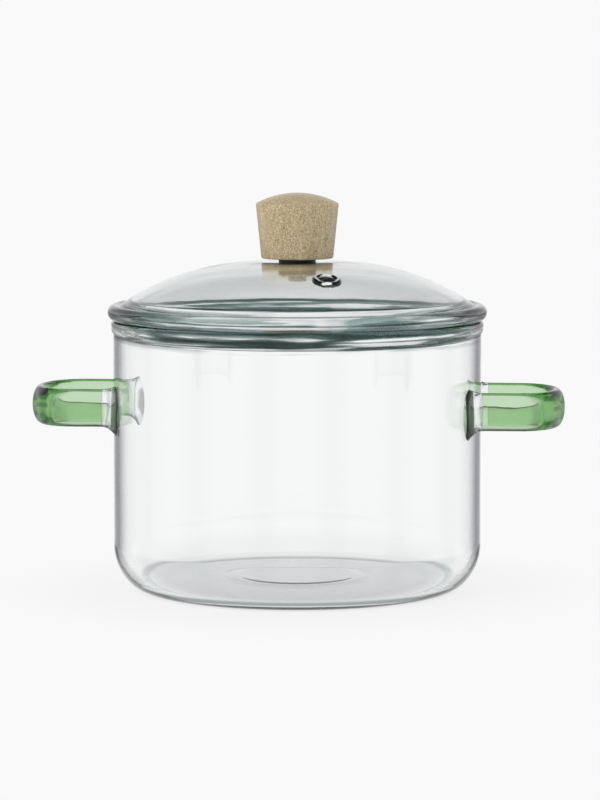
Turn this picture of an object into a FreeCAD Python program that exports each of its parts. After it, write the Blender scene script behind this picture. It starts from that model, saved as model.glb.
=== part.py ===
import FreeCAD, Part
import math
import os

from FreeCAD import Vector

# Glass saucepan with two loop handles, a domed glass lid and a wooden knob.
# Millimetres. The origin is on the table under the pot's axis, +Z is up, and the handles lie along X.

# Pot
POT_RADIUS = 80.0            # outer radius of the straight wall
POT_HEIGHT = 117.0           # from the table to the rim
WALL = 2.4                   # thickness of the wall
BASE = 3.2                   # thickness of the base
CORNER_UPPER = 22.5          # outside radius of the bottom corner, next to the wall
CORNER_LOWER = 12.0          # outside radius of the bottom corner, next to the table
INNER_UPPER = 20.0           # inside radius of the bottom corner, next to the wall
INNER_LOWER = 10.0           # inside radius of the bottom corner, next to the floor
CORNER_SPLIT = 45.0          # angle at which the lower radius hands over to the upper one
PUNT_RADIUS = 26.0           # flat raised middle of the base
PUNT_FOOT = 34.0             # inner edge of the ring that the pot stands on
PUNT_DEPTH = 1.2             # rise of the raised middle
RIM_HEIGHT = 6.5             # height of the thickened rim
RIM_PROUD = 0.9              # how far the rim stands out of the wall
RIM_BLEND = 3.0              # radius of the two arcs that lead from the wall to the rim
RIM_OUTER_EDGE = 1.5         # rounding of the rim's outer edge
RIM_INNER_EDGE = 1.0         # rounding of the rim's inner edge

# Loop handles
HANDLE_DROP = 37.0           # from the rim down to the middle of the strap
HANDLE_SPACING = 48.0        # between the middles of the two arms
STRAP_WIDTH = 7.0            # thickness of the oval strap, seen from above
STRAP_HEIGHT = 16.4          # strap height
ARM_LENGTH = 12.7            # straight part of each arm
BEND_RADIUS = 16.0           # middle line of the two outer bends
BEND_ANGLE = 60.0            # turn of the two outer bends
WELD_STANDOFF = 2.0          # from the wall's outermost line to the end of the green strap
WELD_SIDE = 3.5              # how far a weld's last section reaches past the strap, to each side
WELD_ABOVE = 3.5             # how far it reaches over the strap
WELD_BELOW = 10.0            # how far it reaches under the strap
WELD_SECTIONS = 4            # sections that a weld is lofted through, the last one behind the wall
WELD_SINK = 1.0              # how far the last section lies behind the wall before it is trimmed

# Lid
LID_SEAT_GAP = 0.1           # from the rim to the underside of the bead
LID_RISE = 25.4              # from the underside of the bead to the flat top
LID_THICKNESS = 3.0          # thickness of the dome
LID_FLAT = 16.0              # radius of the flat seat under the knob
LID_HOLE = 4.0               # radius of the hole in the middle
LID_OVERHANG = 2.4           # how far the bead stands out past the pot's wall
BEAD_HEIGHT = 6.9            # height of the bead
BEAD_OUTER_ROUND = 2.2       # rounding of the bead's outer edges
BEAD_INNER_ROUND = 1.6       # rounding of the bead's inner top edge
GROOVE_SETBACK = 3.9         # from the bead's outside to the end of the dome's arc
GROOVE_DEPTH = 1.4           # from the bead's top to the end of the dome's arc
GROOVE_ROUND = 0.6           # rounding of the groove between the dome and the bead
SKIRT_CLEARANCE = 2.3        # between the skirt and the pot's inner wall
SKIRT_THICKNESS = 2.9        # thickness of the skirt
SKIRT_DEPTH = 7.8            # how far the skirt reaches below the bead
SKIRT_BLEND = 3.5            # rounding between the dome and the skirt, inside
SEAT_BLEND = 0.8             # rounding between the skirt and the underside of the bead
VENT_DISTANCE = 51.0         # from the axis to the steam vent
VENT_ANGLE = -70.0           # direction of the steam vent, from +X towards +Y
VENT_RADIUS = 3.3            # bore of the vent
VENT_LIP = 1.5               # radius of the lip's round section
VENT_LIP_OVERLAP = 0.1       # how far the bore cuts into the lip
VENT_PROUD = 0.2             # how far the middle of the lip stands over the dome
VENT_REACH = 12.0            # length of the vent's bore above and below the dome

# Knob and its fixings
KNOB_HEIGHT = 28.4           # knob without its gasket
KNOB_CROWN = 4.6             # height of the domed top
KNOB_BASE_RADIUS = 15.6      # radius at the bottom
KNOB_TOP_RADIUS = 18.0       # radius at the widest place, under the domed top
KNOB_BASE_EDGE = 0.8         # rounding of the bottom edge
KNOB_TOP_EDGE = 1.0          # rounding of the top edge
KNOB_BORE_DEPTH = 14.0       # depth of the hole for the insert
INSERT_RADIUS = 3.5          # outside of the threaded insert
INSERT_LENGTH = 12.0         # length of the threaded insert
INSERT_FIT = 0.05            # between the insert and the knob
SCREW_RADIUS = 2.0           # outside of the screw's thread
SCREW_FIT = 0.05             # between the screw and the insert's thread
HEAD_RADIUS = 3.95           # pan head of the screw
HEAD_HEIGHT = 2.4            # height of the head
HEAD_ROUND = 1.2             # rounding of the head's edge
RECESS_WIDTH = 0.9           # width of the cross recess
RECESS_LENGTH = 4.4          # length of each arm pair of the cross recess
RECESS_DEPTH = 1.3           # depth of the cross recess
WASHER_RADIUS = 7.0          # steel washer
WASHER_THICKNESS = 0.9       # steel washer
WASHER_PLAY = 0.2            # between the screw and the steel washer
GASKET_RADIUS = 8.1          # both gaskets
LOWER_GASKET_THICKNESS = 2.0
UPPER_GASKET_THICKNESS = 1.3
GASKET_EDGE = 0.4            # rounding of the gaskets' outer edges
GASKET_PLAY = 0.3            # between the screw and the gaskets
SLEEVE_PLAY = 0.2            # between the upper gasket's sleeve and the hole in the lid
SLEEVE_SHORT = 0.3           # how much shorter the sleeve is than the hole

TOUCH = 1e-6                 # distance under which two points are one point

# Heights and radii that several pieces share
POT_BORE = POT_RADIUS - WALL
HANDLE_Z = POT_HEIGHT - HANDLE_DROP
HANDLE_ROOT = POT_RADIUS + WELD_STANDOFF
LID_SEAT = POT_HEIGHT + LID_SEAT_GAP
LID_TOP = LID_SEAT + LID_RISE
LID_UNDER = LID_TOP - LID_THICKNESS
KNOB_SEAT = LID_TOP + UPPER_GASKET_THICKNESS
HEAD_SEAT = LID_UNDER - LOWER_GASKET_THICKNESS - WASHER_THICKNESS

# The dome's arc leaves the flat top level and ends in the groove beside the bead
BEAD_RADIUS = POT_RADIUS + LID_OVERHANG
BEAD_TOP = LID_SEAT + BEAD_HEIGHT
DOME_RUN = BEAD_RADIUS - GROOVE_SETBACK - LID_FLAT
DOME_DROP = LID_TOP - BEAD_TOP + GROOVE_DEPTH
DOME_RADIUS = (DOME_RUN ** 2 + DOME_DROP ** 2) / (2 * DOME_DROP)
DOME_CENTRE_Z = LID_TOP - DOME_RADIUS


class Outline:
    """Half of a section, drawn edge by edge in the XZ plane and then turned about the Z axis."""

    def __init__(self, r, z):
        self.start = Vector(r, 0, z)
        self.end = self.start
        self.edges = []

    def line(self, r, z):
        """Draws a straight run to (r, z)."""
        target = Vector(r, 0, z)
        if target.distanceToPoint(self.end) > TOUCH:
            self.edges.append(Part.makeLine(self.end, target))
            self.end = target

    def arc(self, r, z, turn):
        """Draws an arc about (r, z) through turn degrees, positive from +X towards +Z."""
        centre = Vector(r, 0, z)
        arm = self.end - centre
        middle = centre + turned(arm, turn / 2)
        target = centre + turned(arm, turn)
        self.edges.append(Part.Arc(self.end, middle, target).toShape())
        self.end = target

    def arc_to(self, r, z, angle):
        """Draws an arc about (r, z) that ends where its arm points to angle, the short way round."""
        arm = self.end - Vector(r, 0, z)
        turn = angle - math.degrees(math.atan2(arm.z, arm.x))
        self.arc(r, z, (turn + 180) % 360 - 180)

    def solid(self):
        """Closes the section and turns it into a solid of revolution."""
        self.line(self.start.x, self.start.z)
        face = Part.Face(Part.Wire(self.edges))
        return face.revolve(Vector(0, 0, 0), Vector(0, 0, 1), 360)


def turned(arm, degrees):
    """The vector arm, turned in the XZ plane from +X towards +Z."""
    sine = math.sin(math.radians(degrees))
    cosine = math.cos(math.radians(degrees))
    return Vector(arm.x * cosine - arm.z * sine, 0, arm.x * sine + arm.z * cosine)


def direction(start, end):
    """The angle in degrees at which end, a pair (r, z), is seen from start."""
    return math.degrees(math.atan2(end[1] - start[1], end[0] - start[0]))


def dome_height(r, radius):
    """The height at distance r from the axis of the arc of that radius about the dome's centre."""
    return DOME_CENTRE_Z + math.sqrt(radius ** 2 - (r - LID_FLAT) ** 2)


def corner_centres(wall, floor, upper, lower):
    """The centres of the two arcs that lead from a floor to a wall: the upper one, then the lower one."""
    split = math.radians(CORNER_SPLIT)
    upper_r = wall - upper
    lower_z = floor + lower
    upper_z = lower_z + (upper - lower) * math.sin(split)
    lower_r = upper_r + (upper - lower) * math.cos(split)
    return (upper_r, upper_z), (lower_r, lower_z)


def pot_body():
    """The pot: wall, thickened rim, rounded bottom corner and a base that is raised in the middle."""
    outer_upper, outer_lower = corner_centres(POT_RADIUS, 0, CORNER_UPPER, CORNER_LOWER)
    inner_upper, inner_lower = corner_centres(POT_BORE, BASE, INNER_UPPER, INNER_LOWER)
    rim_radius = POT_RADIUS + RIM_PROUD
    rim_start = POT_HEIGHT - RIM_HEIGHT
    swing = math.degrees(math.acos(1 - RIM_PROUD / (2 * RIM_BLEND)))
    rim_full = rim_start + 2 * RIM_BLEND * math.sin(math.radians(swing))

    section = Outline(0, PUNT_DEPTH)
    section.line(PUNT_RADIUS, PUNT_DEPTH)
    section.line(PUNT_FOOT, 0)
    section.line(outer_lower[0], 0)
    section.arc(*outer_lower, CORNER_SPLIT)
    section.arc(*outer_upper, 90 - CORNER_SPLIT)
    section.line(POT_RADIUS, rim_start)
    section.arc(POT_RADIUS + RIM_BLEND, rim_start, -swing)
    section.arc(rim_radius - RIM_BLEND, rim_full, swing)
    section.line(rim_radius, POT_HEIGHT - RIM_OUTER_EDGE)
    section.arc(rim_radius - RIM_OUTER_EDGE, POT_HEIGHT - RIM_OUTER_EDGE, 90)
    section.line(POT_BORE + RIM_INNER_EDGE, POT_HEIGHT)
    section.arc(POT_BORE + RIM_INNER_EDGE, POT_HEIGHT - RIM_INNER_EDGE, 90)
    section.line(POT_BORE, inner_upper[1])
    section.arc(*inner_upper, CORNER_SPLIT - 90)
    section.arc(*inner_lower, -CORNER_SPLIT)
    section.line(PUNT_FOOT, BASE)
    section.line(PUNT_RADIUS, BASE + PUNT_DEPTH)
    section.line(0, BASE + PUNT_DEPTH)
    return section.solid()


def strap_section(x, y, z, width, height):
    """An upright ellipse in the plane at x, centred on (y, z), as a closed wire."""
    centre = Vector(x, y, z)
    top = centre + Vector(0, 0, height / 2)
    flank = centre + Vector(0, width / 2, 0)
    return Part.Wire(Part.Ellipse(top, flank, centre).toShape())


def strap_path():
    """The strap's middle line: arm, bend, wide bow, bend, arm."""
    half = HANDLE_SPACING / 2
    bend = math.radians(BEND_ANGLE)
    bow_half = math.pi / 2 - bend
    bow_radius = (half - BEND_RADIUS * (1 - math.cos(bend))) / math.sin(bow_half)
    knee = Vector(HANDLE_ROOT + ARM_LENGTH, -half, HANDLE_Z)
    bend_centre = knee + Vector(0, BEND_RADIUS, 0)
    bow_start = bend_centre + BEND_RADIUS * Vector(math.sin(bend), -math.cos(bend), 0)
    bow_middle_x = bow_start.x + bow_radius * (1 - math.cos(bow_half))
    bend_middle = bend_centre + BEND_RADIUS * Vector(math.sin(bend / 2), -math.cos(bend / 2), 0)

    def opposite(point):
        return Vector(point.x, -point.y, point.z)

    root = Vector(HANDLE_ROOT, -half, HANDLE_Z)
    return Part.Wire([
        Part.makeLine(root, knee),
        Part.Arc(knee, bend_middle, bow_start).toShape(),
        Part.Arc(bow_start, Vector(bow_middle_x, 0, HANDLE_Z), opposite(bow_start)).toShape(),
        Part.Arc(opposite(bow_start), opposite(bend_middle), opposite(knee)).toShape(),
        Part.makeLine(opposite(knee), opposite(root)),
    ])


def handle():
    """The right-hand green loop."""
    half = HANDLE_SPACING / 2
    pipe = Part.BRepOffsetAPI.MakePipeShell(strap_path())
    pipe.setBiNormalMode(Vector(0, 0, 1))
    pipe.add(strap_section(HANDLE_ROOT, -half, HANDLE_Z, STRAP_WIDTH, STRAP_HEIGHT))
    pipe.build()
    pipe.makeSolid()
    return pipe.shape()


def weld(side):
    """One clear weld on the right: it flares from the strap's end to the wall. side is -1 in front, 1 behind."""
    y = side * HANDLE_SPACING / 2
    far_y = HANDLE_SPACING / 2 + STRAP_WIDTH / 2 + WELD_SIDE
    end_x = math.sqrt(POT_RADIUS ** 2 - far_y ** 2) - WELD_SINK
    sections = []
    for index in range(WELD_SECTIONS):
        along = index / (WELD_SECTIONS - 1)
        flare = along ** 2
        sections.append(strap_section(
            HANDLE_ROOT + (end_x - HANDLE_ROOT) * along,
            y,
            HANDLE_Z + (WELD_ABOVE - WELD_BELOW) / 2 * flare,
            STRAP_WIDTH + 2 * WELD_SIDE * flare,
            STRAP_HEIGHT + (WELD_ABOVE + WELD_BELOW) * flare,
        ))
    flared = Part.makeLoft(sections, True)
    return flared.cut(Part.makeCylinder(POT_RADIUS, POT_HEIGHT))


def vent_frame():
    """The middle of the vent on the dome's surface, the dome's normal there, and the way up through it."""
    around = math.radians(VENT_ANGLE)
    slope = math.asin((VENT_DISTANCE - LID_FLAT) / DOME_RADIUS)
    outward = Vector(math.cos(around), math.sin(around), 0)
    middle = outward * VENT_DISTANCE + Vector(0, 0, dome_height(VENT_DISTANCE, DOME_RADIUS))
    normal = outward * math.sin(slope) + Vector(0, 0, math.cos(slope))
    return middle, normal


def lid_glass():
    """The lid: dome, rolled bead that rests on the rim, skirt that finds the bore, and a beaded vent."""
    inner_dome = DOME_RADIUS - LID_THICKNESS
    dome_centre = (LID_FLAT, DOME_CENTRE_Z)
    skirt_outer = POT_BORE - SKIRT_CLEARANCE
    skirt_inner = skirt_outer - SKIRT_THICKNESS
    skirt_round = SKIRT_THICKNESS / 2
    skirt_low = LID_SEAT - SKIRT_DEPTH + skirt_round
    blend_r = skirt_inner - SKIRT_BLEND
    blend_centre = (blend_r, dome_height(blend_r, inner_dome - SKIRT_BLEND))
    bead_flat = BEAD_RADIUS - BEAD_OUTER_ROUND
    roll_centre = (bead_flat, BEAD_TOP - BEAD_INNER_ROUND)
    groove_centre = meeting_point(
        dome_centre, DOME_RADIUS + GROOVE_ROUND, roll_centre, BEAD_INNER_ROUND + GROOVE_ROUND
    )

    section = Outline(LID_HOLE, LID_UNDER)
    section.line(LID_FLAT, LID_UNDER)
    section.arc_to(*dome_centre, direction(dome_centre, blend_centre))
    section.arc_to(*blend_centre, 0)
    section.line(skirt_inner, skirt_low)
    section.arc(skirt_inner + skirt_round, skirt_low, 180)
    section.line(skirt_outer, LID_SEAT - SEAT_BLEND)
    section.arc(skirt_outer + SEAT_BLEND, LID_SEAT - SEAT_BLEND, -90)
    section.line(bead_flat, LID_SEAT)
    section.arc(bead_flat, LID_SEAT + BEAD_OUTER_ROUND, 90)
    section.line(BEAD_RADIUS, BEAD_TOP - BEAD_OUTER_ROUND)
    section.arc(bead_flat, BEAD_TOP - BEAD_OUTER_ROUND, 90)
    section.arc_to(*roll_centre, direction(roll_centre, groove_centre))
    section.arc_to(*groove_centre, direction(groove_centre, dome_centre))
    section.arc_to(*dome_centre, 90)
    section.line(LID_HOLE, LID_TOP)

    middle, normal = vent_frame()
    lip_radius = VENT_RADIUS + VENT_LIP - VENT_LIP_OVERLAP
    lip = Part.makeTorus(lip_radius, VENT_LIP, middle + normal * VENT_PROUD, normal)
    bore = Part.makeCylinder(VENT_RADIUS, 2 * VENT_REACH, middle - Vector(0, 0, VENT_REACH))
    return section.solid().fuse(lip).cut(bore)


def meeting_point(centre_a, distance_a, centre_b, distance_b):
    """The point at those distances from two centres, on the left of the way from the first to the second."""
    step_r = centre_b[0] - centre_a[0]
    step_z = centre_b[1] - centre_a[1]
    gap = math.hypot(step_r, step_z)
    along = (gap ** 2 + distance_a ** 2 - distance_b ** 2) / (2 * gap)
    aside = math.sqrt(distance_a ** 2 - along ** 2)
    return (
        centre_a[0] + (along * step_r - aside * step_z) / gap,
        centre_a[1] + (along * step_z + aside * step_r) / gap,
    )


def knob():
    """The turned wooden knob: it widens upwards, has a domed top and a blind hole for the insert."""
    shoulder = KNOB_SEAT + KNOB_HEIGHT - KNOB_CROWN
    crown_radius = (KNOB_TOP_RADIUS ** 2 + KNOB_CROWN ** 2) / (2 * KNOB_CROWN)
    crown_turn = math.degrees(math.asin(KNOB_TOP_RADIUS / crown_radius))
    bore = INSERT_RADIUS + INSERT_FIT

    section = Outline(bore, KNOB_SEAT)
    section.line(KNOB_BASE_RADIUS, KNOB_SEAT)
    section.line(KNOB_TOP_RADIUS, shoulder)
    section.arc(0, shoulder + KNOB_CROWN - crown_radius, crown_turn)
    section.line(0, KNOB_SEAT + KNOB_BORE_DEPTH)
    section.line(bore, KNOB_SEAT + KNOB_BORE_DEPTH)
    turning = section.solid()
    turning = rounded(turning, KNOB_TOP_EDGE, KNOB_TOP_RADIUS, shoulder)
    return rounded(turning, KNOB_BASE_EDGE, KNOB_BASE_RADIUS, KNOB_SEAT)


def rounded(shape, radius, edge_radius, z):
    """Rounds the circular edge that has that radius and height."""
    edges = [
        edge for edge in shape.Edges
        if not edge.Degenerated
        and isinstance(edge.Curve, Part.Circle)
        and abs(edge.Curve.Radius - edge_radius) < TOUCH
        and abs(edge.Curve.Center.z - z) < TOUCH
    ]
    return shape.makeFillet(radius, edges)


def washer(outer, inner, low, high):
    """A flat ring with square edges."""
    section = Outline(inner, low)
    section.line(outer, low)
    section.line(outer, high)
    section.line(inner, high)
    return section.solid()


def gasket(low, high):
    """A flat ring of soft material with rounded outer edges."""
    bore = SCREW_RADIUS + GASKET_PLAY
    section = Outline(bore, low)
    section.line(GASKET_RADIUS - GASKET_EDGE, low)
    section.arc(GASKET_RADIUS - GASKET_EDGE, low + GASKET_EDGE, 90)
    section.line(GASKET_RADIUS, high - GASKET_EDGE)
    section.arc(GASKET_RADIUS - GASKET_EDGE, high - GASKET_EDGE, 90)
    section.line(bore, high)
    return section.solid()


def knob_gasket():
    """The gasket between lid and knob, with a sleeve that keeps the screw off the glass."""
    sleeve_low = LID_UNDER + SLEEVE_SHORT
    sleeve = washer(LID_HOLE - SLEEVE_PLAY, SCREW_RADIUS + GASKET_PLAY, sleeve_low, LID_TOP)
    return gasket(LID_TOP, KNOB_SEAT).fuse(sleeve).removeSplitter()


def knob_screw():
    """The screw: a pan head with a cross recess under the lid, and a plain cylinder for the thread."""
    head_low = HEAD_SEAT - HEAD_HEIGHT
    section = Outline(0, head_low)
    section.line(HEAD_RADIUS - HEAD_ROUND, head_low)
    section.arc(HEAD_RADIUS - HEAD_ROUND, head_low + HEAD_ROUND, 90)
    section.line(HEAD_RADIUS, HEAD_SEAT)
    section.line(SCREW_RADIUS, HEAD_SEAT)
    section.line(SCREW_RADIUS, KNOB_SEAT + INSERT_LENGTH)
    section.line(0, KNOB_SEAT + INSERT_LENGTH)
    screw = section.solid()
    for length, width in ((RECESS_LENGTH, RECESS_WIDTH), (RECESS_WIDTH, RECESS_LENGTH)):
        corner = Vector(-length / 2, -width / 2, head_low)
        screw = screw.cut(Part.makeBox(length, width, RECESS_DEPTH, corner))
    return screw


def half_turn(shape):
    """The same shape on the other side of the pot."""
    return shape.rotated(Vector(0, 0, 0), Vector(0, 0, 1), 180)


def all_parts():
    """Every piece under its node's name."""
    right_handle = handle()
    front_weld = weld(-1)
    back_weld = weld(1)
    insert_low = KNOB_SEAT
    return {
        "pot_body": pot_body(),
        "handle_right": right_handle,
        "handle_left": half_turn(right_handle),
        "weld_right_front": front_weld,
        "weld_right_back": back_weld,
        "weld_left_front": half_turn(back_weld),
        "weld_left_back": half_turn(front_weld),
        "lid_glass": lid_glass(),
        "knob": knob(),
        "knob_insert": washer(
            INSERT_RADIUS, SCREW_RADIUS + SCREW_FIT, insert_low, insert_low + INSERT_LENGTH
        ),
        "knob_gasket": knob_gasket(),
        "lower_gasket": gasket(LID_UNDER - LOWER_GASKET_THICKNESS, LID_UNDER),
        "screw_washer": washer(
            WASHER_RADIUS, SCREW_RADIUS + WASHER_PLAY, HEAD_SEAT, HEAD_SEAT + WASHER_THICKNESS
        ),
        "knob_screw": knob_screw(),
    }


os.makedirs("parts", exist_ok=True)
for node, shape in all_parts().items():
    shape.exportStep(f"parts/{node}.step")
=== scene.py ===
import math

import bmesh
import bpy
import numpy as np
from mathutils import Matrix, Vector, noise


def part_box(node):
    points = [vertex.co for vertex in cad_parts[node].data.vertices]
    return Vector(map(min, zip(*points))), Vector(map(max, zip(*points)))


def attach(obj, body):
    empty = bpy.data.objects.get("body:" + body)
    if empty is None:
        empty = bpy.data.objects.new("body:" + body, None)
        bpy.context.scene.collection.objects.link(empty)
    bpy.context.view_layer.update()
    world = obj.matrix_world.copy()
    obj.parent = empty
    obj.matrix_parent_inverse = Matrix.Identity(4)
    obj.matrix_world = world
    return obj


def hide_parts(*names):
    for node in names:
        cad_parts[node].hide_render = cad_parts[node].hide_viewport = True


bl_info = {
    "name": "Glass saucepan",
    "version": (1, 0, 0),
    "blender": (4, 5, 0),
    "location": "View3D > Sidebar > Saucepan",
    "description": "Builds the glass, wood and metal of a lidded glass saucepan around its packed frame",
    "category": "Add Mesh",
}

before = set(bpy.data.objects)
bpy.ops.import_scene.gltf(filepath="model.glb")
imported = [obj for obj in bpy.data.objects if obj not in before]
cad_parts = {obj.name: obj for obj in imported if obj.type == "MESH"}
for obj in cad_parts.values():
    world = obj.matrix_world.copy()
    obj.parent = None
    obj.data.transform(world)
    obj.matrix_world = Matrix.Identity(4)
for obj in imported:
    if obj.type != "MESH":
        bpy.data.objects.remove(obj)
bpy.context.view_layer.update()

MM = 0.001
LINE_STEP = 1.6 * MM          # longest straight step along a section
EDGE_STEP = 0.25 * MM         # first and last step of a straight run, which keeps the shading of flats true
ARC_STEP = 0.35 * MM          # longest step along an arc
ARC_TURN = 9.0                # largest turn of one arc step, in degrees
ARC_WIDE = 30 * MM            # arcs of this radius or more may step as far as a straight run
OVAL_STEPS = 72               # points around the section of a strap or a weld
TOUCH = 1e-7                  # two points nearer than this are one point
SHARP = math.radians(32)      # edges that turn more than this stay crisp
QUARTER = math.pi / 2         # a quarter turn
SPLIT = math.radians(45)      # turn of each of the two arcs of a bottom corner
WHITE = (1.0, 1.0, 1.0)


# ---------------------------------------------------------------- properties

def length(name, default, description):
    """A size in metres."""
    return bpy.props.FloatProperty(
        name=name, description=description, default=default, min=0.0, precision=5, unit="LENGTH"
    )


def degrees(name, default, description):
    """An angle that is given in degrees."""
    return bpy.props.FloatProperty(
        name=name, description=description, default=math.radians(default), unit="ROTATION"
    )


def number(name, default, description):
    """A plain factor."""
    return bpy.props.FloatProperty(name=name, description=description, default=default, subtype="FACTOR")


def colour(name, default, description):
    """A linear colour."""
    return bpy.props.FloatVectorProperty(
        name=name, description=description, default=default, size=3, min=0.0, max=1.0, subtype="COLOR"
    )


class PotSettings(bpy.types.PropertyGroup):
    """Sizes of the blown pot."""
    wall: length("Wall", 2.4 * MM, "Thickness of the pot's wall")
    base: length("Base", 3.2 * MM, "Thickness of the pot's base")
    corner_upper: length("Corner, upper", 22.5 * MM, "Outside radius of the corner, next to the wall")
    corner_lower: length("Corner, lower", 12.0 * MM, "Outside radius of the corner, next to the table")
    inner_upper: length("Inner corner, upper", 20.0 * MM, "Inside radius of the corner, next to the wall")
    inner_lower: length("Inner corner, lower", 10.0 * MM, "Inside radius of the corner, next to the floor")
    punt_radius: length("Punt", 26.0 * MM, "Radius of the raised middle of the base")
    punt_foot: length("Punt foot", 34.0 * MM, "Inner edge of the ring that the pot stands on")
    punt_depth: length("Punt depth", 0.5 * MM, "Rise of the raised middle")
    rim_height: length("Rim height", 6.5 * MM, "Height of the thickened rim")
    rim_proud: length("Rim bulge", 0.9 * MM, "How far the rim stands out of the wall")
    rim_blend: length("Rim blend", 3.0 * MM, "Radius of the two arcs between wall and rim")
    rim_outer_edge: length("Rim outer edge", 1.5 * MM, "Rounding of the rim's outer edge")
    rim_inner_edge: length("Rim inner edge", 1.0 * MM, "Rounding of the rim's inner edge")


class LidSettings(bpy.types.PropertyGroup):
    """Sizes of the lid."""
    thickness: length("Dome", 3.0 * MM, "Thickness of the dome")
    flat: length("Flat seat", 16.0 * MM, "Radius of the flat seat under the knob")
    hole: length("Hole", 4.0 * MM, "Radius of the hole in the middle")
    seat_gap: length("Seat gap", 0.1 * MM, "From the rim to the underside of the bead")
    bead_height: length("Bead height", 6.9 * MM, "Height of the rolled bead")
    bead_outer: length("Bead edge", 3.4 * MM, "Rounding of the bead's outer edges")
    bead_inner: length("Bead roll", 1.6 * MM, "Rounding of the bead's inner top edge")
    groove_setback: length("Groove setback", 3.9 * MM, "From the bead's outside to the dome's end")
    groove_depth: length("Groove depth", 1.4 * MM, "From the bead's top down to the dome's end")
    groove_round: length("Groove rounding", 0.6 * MM, "Rounding of the groove beside the bead")
    skirt_clearance: length("Skirt clearance", 2.3 * MM, "Between the skirt and the pot's inner wall")
    skirt_thickness: length("Skirt", 2.9 * MM, "Thickness of the skirt")
    skirt_blend: length("Skirt blend", 3.5 * MM, "Rounding between the dome and the skirt")
    seat_blend: length("Seat blend", 0.8 * MM, "Rounding between the skirt and the bead's underside")
    vent_distance: length("Vent distance", 51.0 * MM, "From the axis to the steam vent")
    vent_angle: degrees("Vent direction", -70.0, "Direction of the steam vent, from +X towards +Y")
    vent_radius: length("Vent bore", 3.3 * MM, "Radius of the vent's bore")
    vent_lip: length("Vent lip", 1.5 * MM, "Radius of the lip's round section")
    vent_proud: length("Vent height", 0.2 * MM, "How far the middle of the lip stands over the dome")


class HandleSettings(bpy.types.PropertyGroup):
    """Sizes of the loops and their welds."""
    spacing: length("Arm spacing", 48.0 * MM, "Between the middles of the two arms of a loop")
    strap: length("Strap", 7.0 * MM, "Thickness of the oval strap")
    arm: length("Arm", 12.7 * MM, "Straight part of each arm")
    bend_radius: length("Bend", 16.0 * MM, "Middle line of the two outer bends")
    bend_angle: degrees("Bend angle", 60.0, "Turn of the two outer bends")
    weld_side: length("Weld side", 3.5 * MM, "How far a weld reaches past the strap, to each side")
    weld_above: length("Weld above", 3.5 * MM, "How far it reaches over the strap")
    weld_below: length("Weld below", 10.0 * MM, "How far it reaches under the strap")
    ripple: length("Ripple", 0.10 * MM, "Depth of the strap's hand-drawn ripples")


class KnobSettings(bpy.types.PropertyGroup):
    """Sizes of the knob and its screw."""
    crown: length("Crown", 4.6 * MM, "Height of the domed top")
    base_radius: length("Base radius", 15.6 * MM, "Radius at the bottom")
    top_radius: length("Top radius", 18.0 * MM, "Radius where the side and the domed top would meet")
    base_edge: length("Base edge", 0.8 * MM, "Rounding of the bottom edge")
    top_edge: length("Top edge", 1.0 * MM, "Rounding of the top edge")
    bore_gap: length("Bore gap", 0.05 * MM, "Between the knob's bore and its insert")
    bore_depth: length("Bore depth", 14.0 * MM, "Depth of the knob's bore")
    shank: length("Shank", 2.0 * MM, "Radius of the screw's thread, at its crests")
    pitch: length("Thread pitch", 0.7 * MM, "Rise of the screw's thread in one turn")
    thread_depth: length("Thread depth", 0.38 * MM, "Height of the screw's thread")
    head_round: length("Head edge", 1.2 * MM, "Rounding of the screw's pan head")
    recess: length("Recess", 1.3 * MM, "Depth of the cross recess")


class FinishSettings(bpy.types.PropertyGroup):
    """Colours of the materials, and where thick clear glass has its painted shade, put into its colour as
    dark streaks.
    """
    glass_ior: number("Glass index", 1.474, "Refractive index of the glass")
    clear_tint: colour("Clear glass", (0.0, 0.60, 0.48), "Colour that the clear glass lets through")
    clear_density: number("Clear density", 5.0, "How strongly a metre of clear glass takes colour away")
    clear_wave: length("Clear waves", 0.02 * MM, "Height of the faint waves on clear glass")
    # painted shade: a dark teal tone put into the colour of thick clear glass, where it would show dark
    # bands from dark surroundings
    streak_tone: colour("Streaks", (0.12, 0.19, 0.175), "Tone of the streaks on thick clear glass")
    # where the painted shade lies: under the rim's top, over it on the lid's bead, round the seat where bead
    # and rim meet, and round the bottom edge
    rim_start: length("Rim streaks start", 10.0 * MM, "How far under the rim's top its streaks begin")
    rim_full: length("Rim streaks full", 5.0 * MM, "How far under it they are at their fullest")
    bead_start: length("Bead streaks start", 9.0 * MM, "How far over the rim the lid's streaks begin")
    bead_full: length("Bead streaks full", 4.0 * MM, "How far over it they are at their fullest")
    seat_even: length("Seat zone", 1.0 * MM, "Over and under the rim's top, how far the tone is even")
    seat_end: length("Seat zone end", 2.8 * MM, "Over and under the rim's top, where the even tone ends")
    foot: length("Foot", 65.0 * MM, "Radius outside which the bottom edge has the streaks' tone")
    foot_blend: length("Foot blend", 1.5 * MM, "How far outside that radius it is at its fullest")
    foot_even: length("Foot height", 0.6 * MM, "Up to which height the bottom edge's tone is even")
    foot_end: length("Foot end", 2.4 * MM, "Height at which the bottom edge's tone ends")
    foot_share: number("Foot share", 0.9, "Share of the streaks' tone at the bottom edge")
    green_tint: colour("Green glass", (0.19, 0.605, 0.05), "Colour that the green glass lets through")
    green_density: number("Green density", 108.0, "How strongly a metre of green glass takes colour away")
    green_wave: length("Green waves", 0.06 * MM, "Height of the faint waves on green glass")
    wood_light: colour("Wood, light", (0.83, 0.675, 0.39), "Light grain of the knob")
    wood_dark: colour("Wood, dark", (0.33, 0.25, 0.13), "Dark grain of the knob")


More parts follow.
